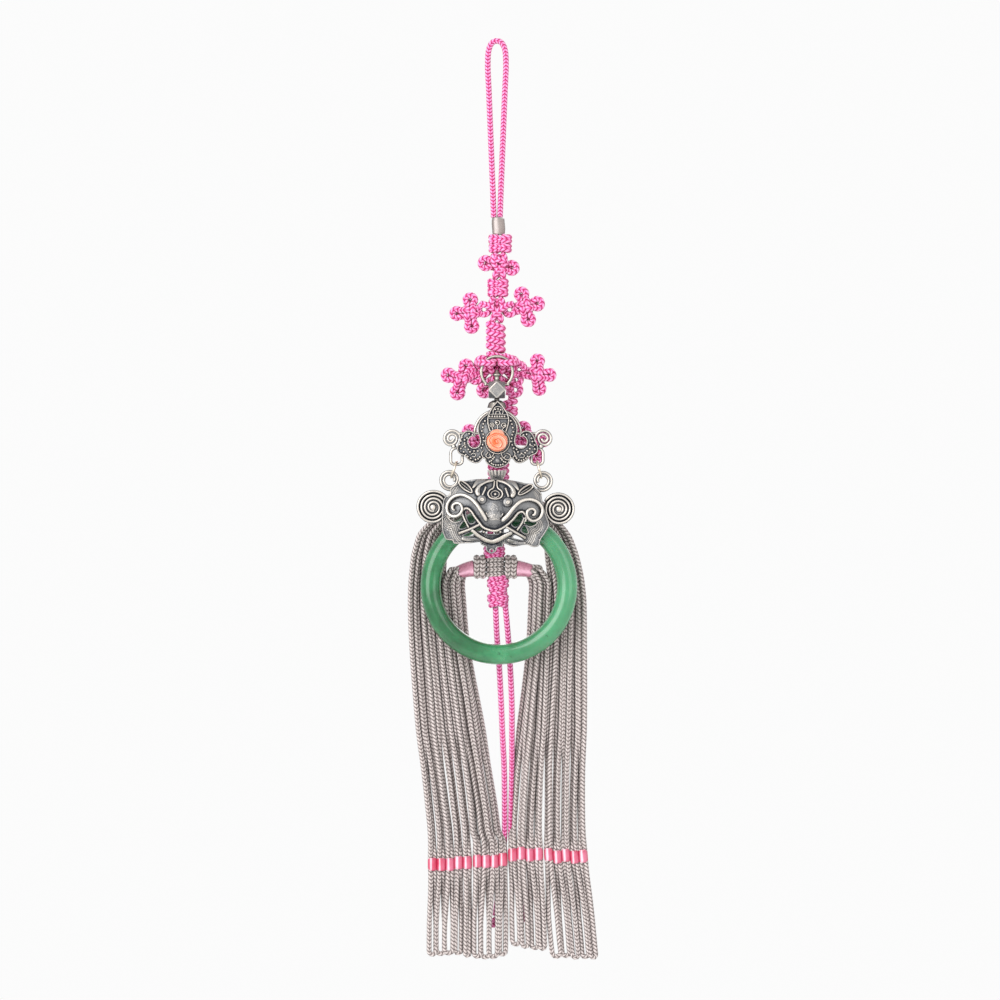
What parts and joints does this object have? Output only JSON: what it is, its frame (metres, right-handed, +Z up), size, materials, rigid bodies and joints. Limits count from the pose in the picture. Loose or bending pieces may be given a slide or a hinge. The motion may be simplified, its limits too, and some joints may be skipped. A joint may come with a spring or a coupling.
{
  "type": "norigae",
  "caption": "Hanging ornament: a cord loop and knots carry a hinged silver plate with a coral rose, a pierced beast mask and a jade ring, in front of cord tassels.",
  "frame": {"origin": "the top of the hanging loop, where the ornament hangs", "axes": "+Z is up, the front faces -Y, +X is to the right as seen from the front; at rest the ornament hangs straight down from the origin"},
  "size_m": [0.0732, 0.0271, 0.3522],
  "materials": {
    "cord_pink": "braided, satin",
    "cord_grey": "braided, satin",
    "silver_dark": "worn silver, darkened in the recesses",
    "silver_bright": "polished",
    "jade": "polished",
    "coral": "polished"
  },
  "bodies": {
    "knotwork": {"hanging_loop": "cord_pink", "loop_binding": "cord_grey", "upper_collar": "cord_pink", "ear_knot": "cord_pink", "middle_collar": "cord_pink", "upper_flower_knot": "cord_pink", "lower_collar": "cord_pink", "lower_flower_knot": "cord_pink", "hidden_flower_knot": "cord_pink", "knot_column": "cord_pink", "chin_collar": "cord_pink", "upper_tassel": "cord_grey", "lower_tassel": "cord_grey", "tail_knot_stack": "cord_pink", "left_tail": "cord_pink", "right_tail": "cord_pink", "left_tail_knot": "cord_pink", "right_tail_knot": "cord_pink", "hanger_ring": "silver_dark"},
    "pendant": {"facet_bead": "silver_dark", "lotus_cap": "silver_dark", "upper_plate": "silver_dark", "wire_frame": "silver_dark", "rose_setting": "silver_dark", "coral_rose": "coral"},
    "drop": {"jump_ring_left": "silver_bright", "jump_ring_right": "silver_bright", "lotus_cup": "silver_dark", "beast_plate": "silver_dark", "ear_curl_left": "silver_dark", "ear_curl_right": "silver_dark", "side_spiral_left": "silver_dark", "side_spiral_right": "silver_dark", "whisker_left": "silver_dark", "whisker_right": "silver_dark", "jade_hook": "silver_dark"},
    "jade": {"jade_ring": "jade"}
  },
  "joints": [
    {"name": "pendant_swing", "type": "hinge", "parent": "knotwork", "child": "pendant", "pos_m": [0, -0.0082, -0.13347], "axis": [-1, 0, 0], "range_deg": [0, 40]},
    {"name": "drop_swing", "type": "hinge", "parent": "pendant", "child": "drop", "pos_m": [0, -0.011, -0.16406], "axis": [-1, 0, 0], "range_deg": [0, 10]},
    {"name": "jade_swing", "type": "hinge", "parent": "drop", "child": "jade", "pos_m": [0.0008, -0.01, -0.18957], "axis": [0, 1, 0], "range_deg": [-18, 18]}
  ]
}
